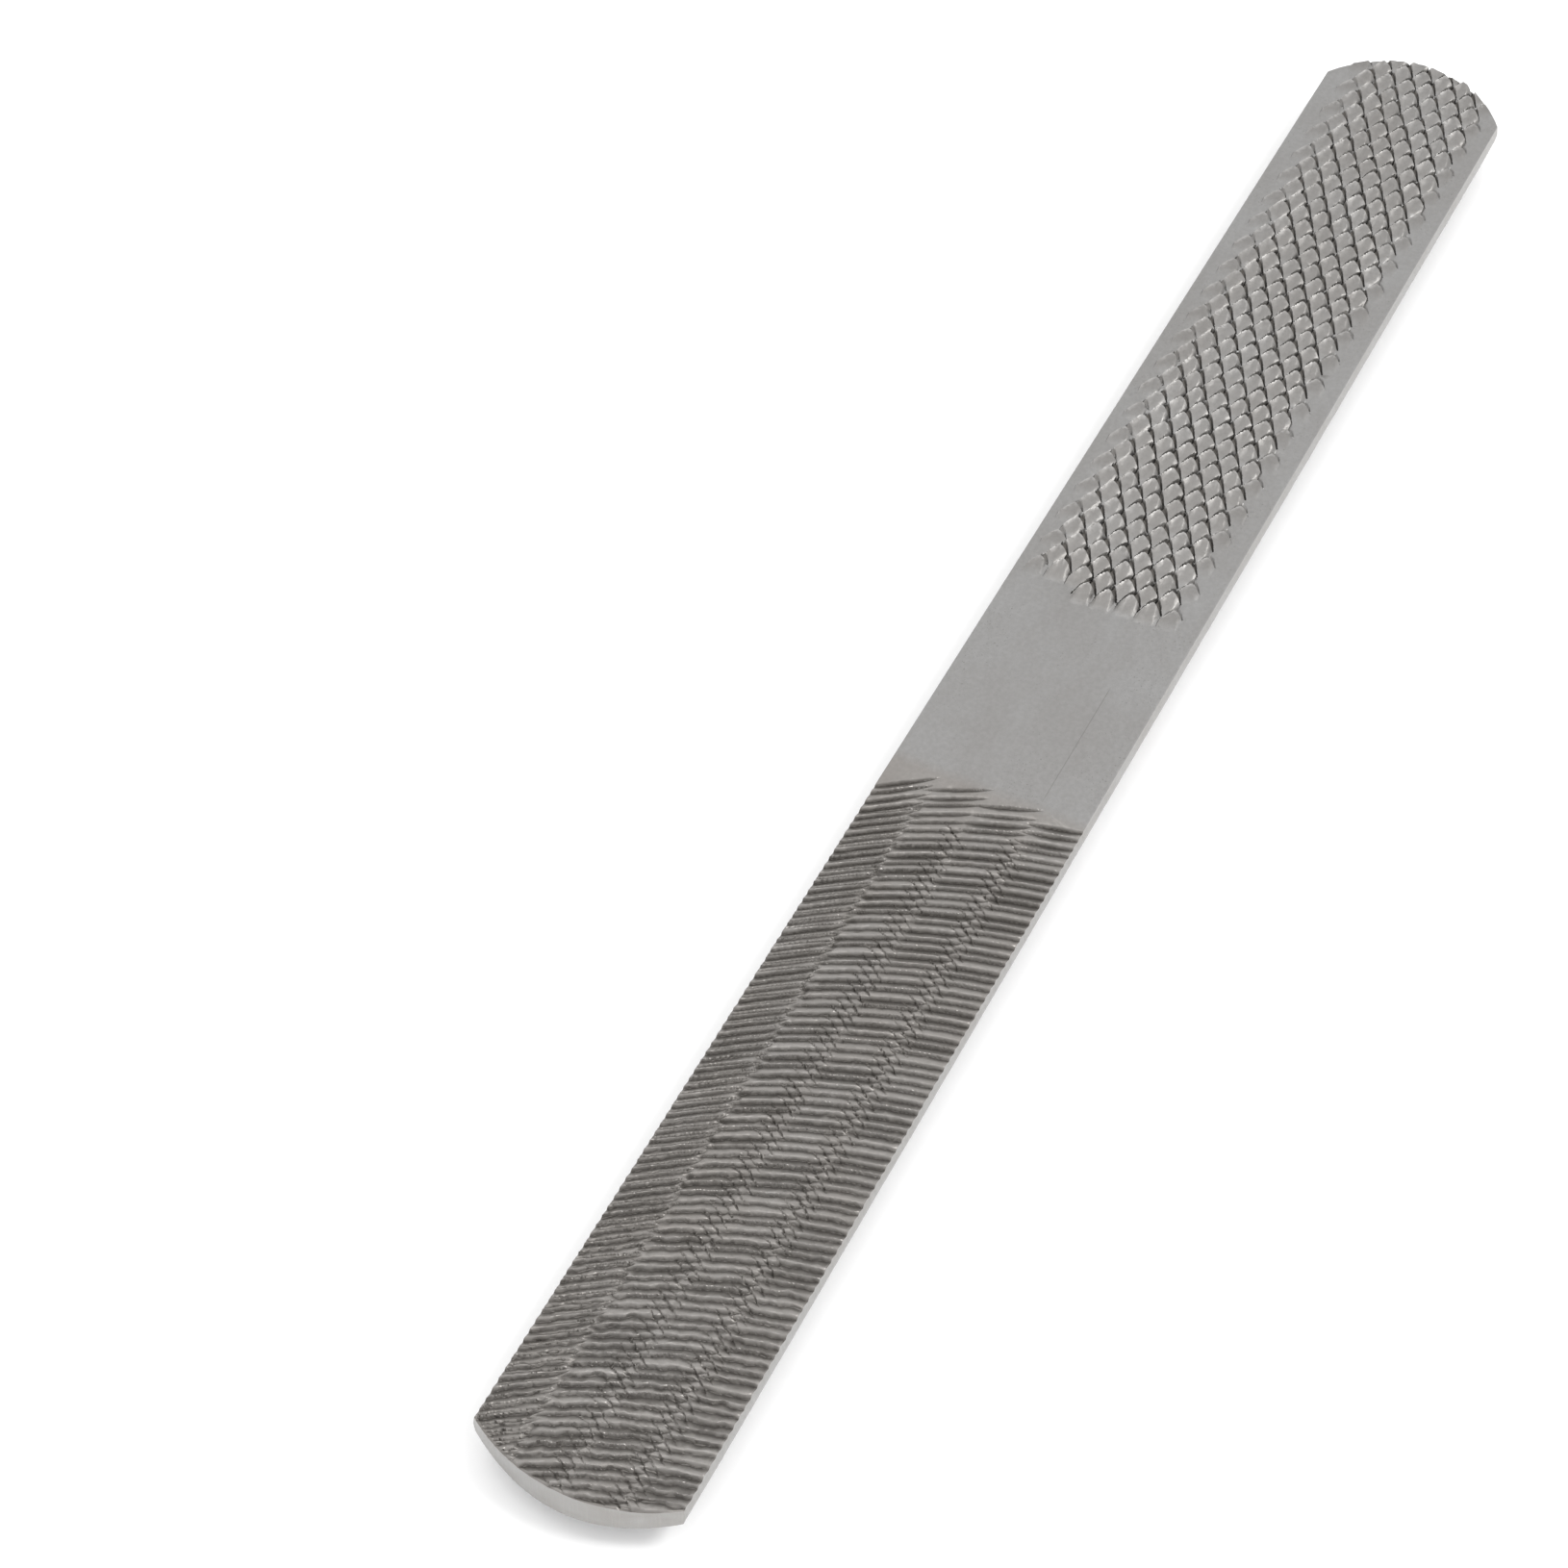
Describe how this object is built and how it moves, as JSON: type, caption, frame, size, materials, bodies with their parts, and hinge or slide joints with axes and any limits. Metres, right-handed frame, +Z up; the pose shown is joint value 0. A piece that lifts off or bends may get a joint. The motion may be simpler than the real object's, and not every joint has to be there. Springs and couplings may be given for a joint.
{
  "type": "wood rasp",
  "caption": "Four-way hand rasp: a flat and half-round steel bar with rasp teeth and file cuts on opposite ends of each face, for shaping and smoothing wood by hand.",
  "frame": {"origin": "under the middle of the bar, on the surface that the belly's teeth stand on", "axes": "+X along the bar towards the end whose flat face has the fine rasp teeth, +Y across the bar, +Z up out of the flat face"},
  "size_m": [0.2, 0.02, 0.0068],
  "materials": {
    "steel": "bare hardened tool steel, satin, ground on the sides and ends"
  },
  "bodies": {
    "root": {"rasp": "steel"}
  },
  "joints": []
}
